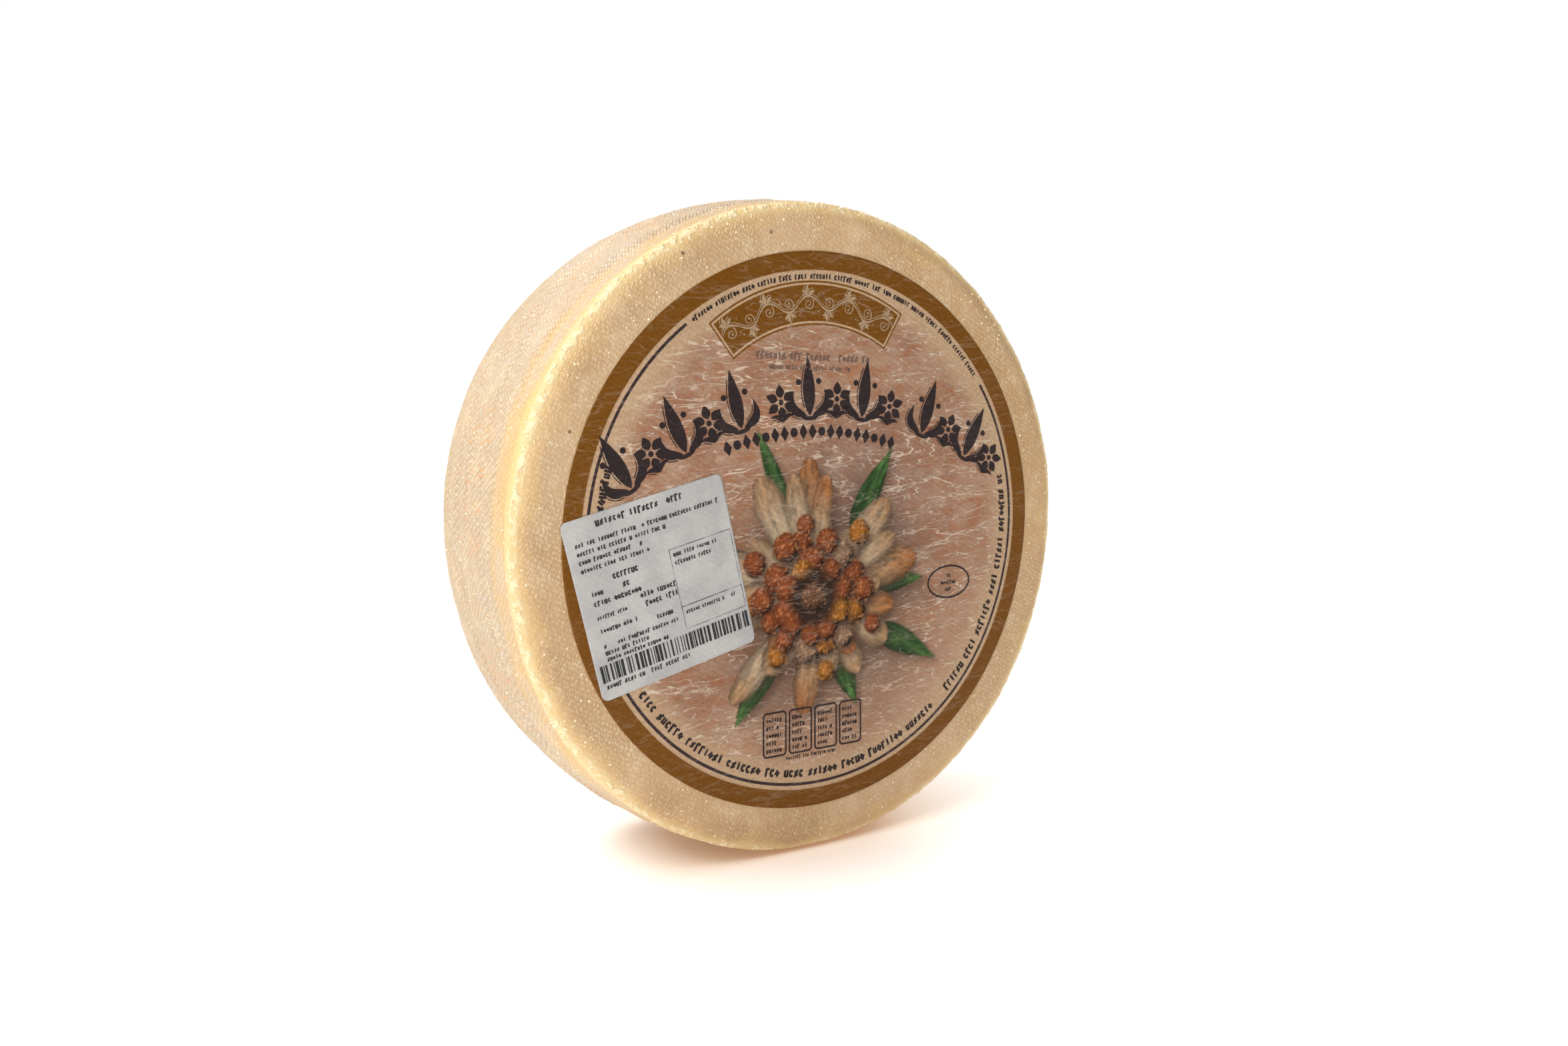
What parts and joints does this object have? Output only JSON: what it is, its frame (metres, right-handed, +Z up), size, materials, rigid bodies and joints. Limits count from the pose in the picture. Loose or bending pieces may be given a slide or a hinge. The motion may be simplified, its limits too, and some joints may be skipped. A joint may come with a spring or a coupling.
{
  "type": "cheese wheel",
  "caption": "Whole wheel of hard mountain cheese standing on its rim, with a round paper label on its face and a square weight label stuck over it.",
  "frame": {"origin": "on the floor, under the middle of the object's bounding box", "axes": "+Y along the wheel's axis, from the labelled face to the plain back face; +Z up; the wheel stands on its rim, and the labelled face looks towards -Y"},
  "size_m": [0.3, 0.0894, 0.2984],
  "materials": {
    "rind": "matte golden rind with a fine cloth imprint and pale salt specks",
    "printed_label": "thin printed paper, pinkish tan with a brown ring, wrinkled onto the rind",
    "weight_label": "thin grey-white self-adhesive paper with worn black print"
  },
  "bodies": {
    "root": {"cheese_wheel": "rind", "round_label": "printed_label", "weight_label": "weight_label"}
  },
  "joints": []
}
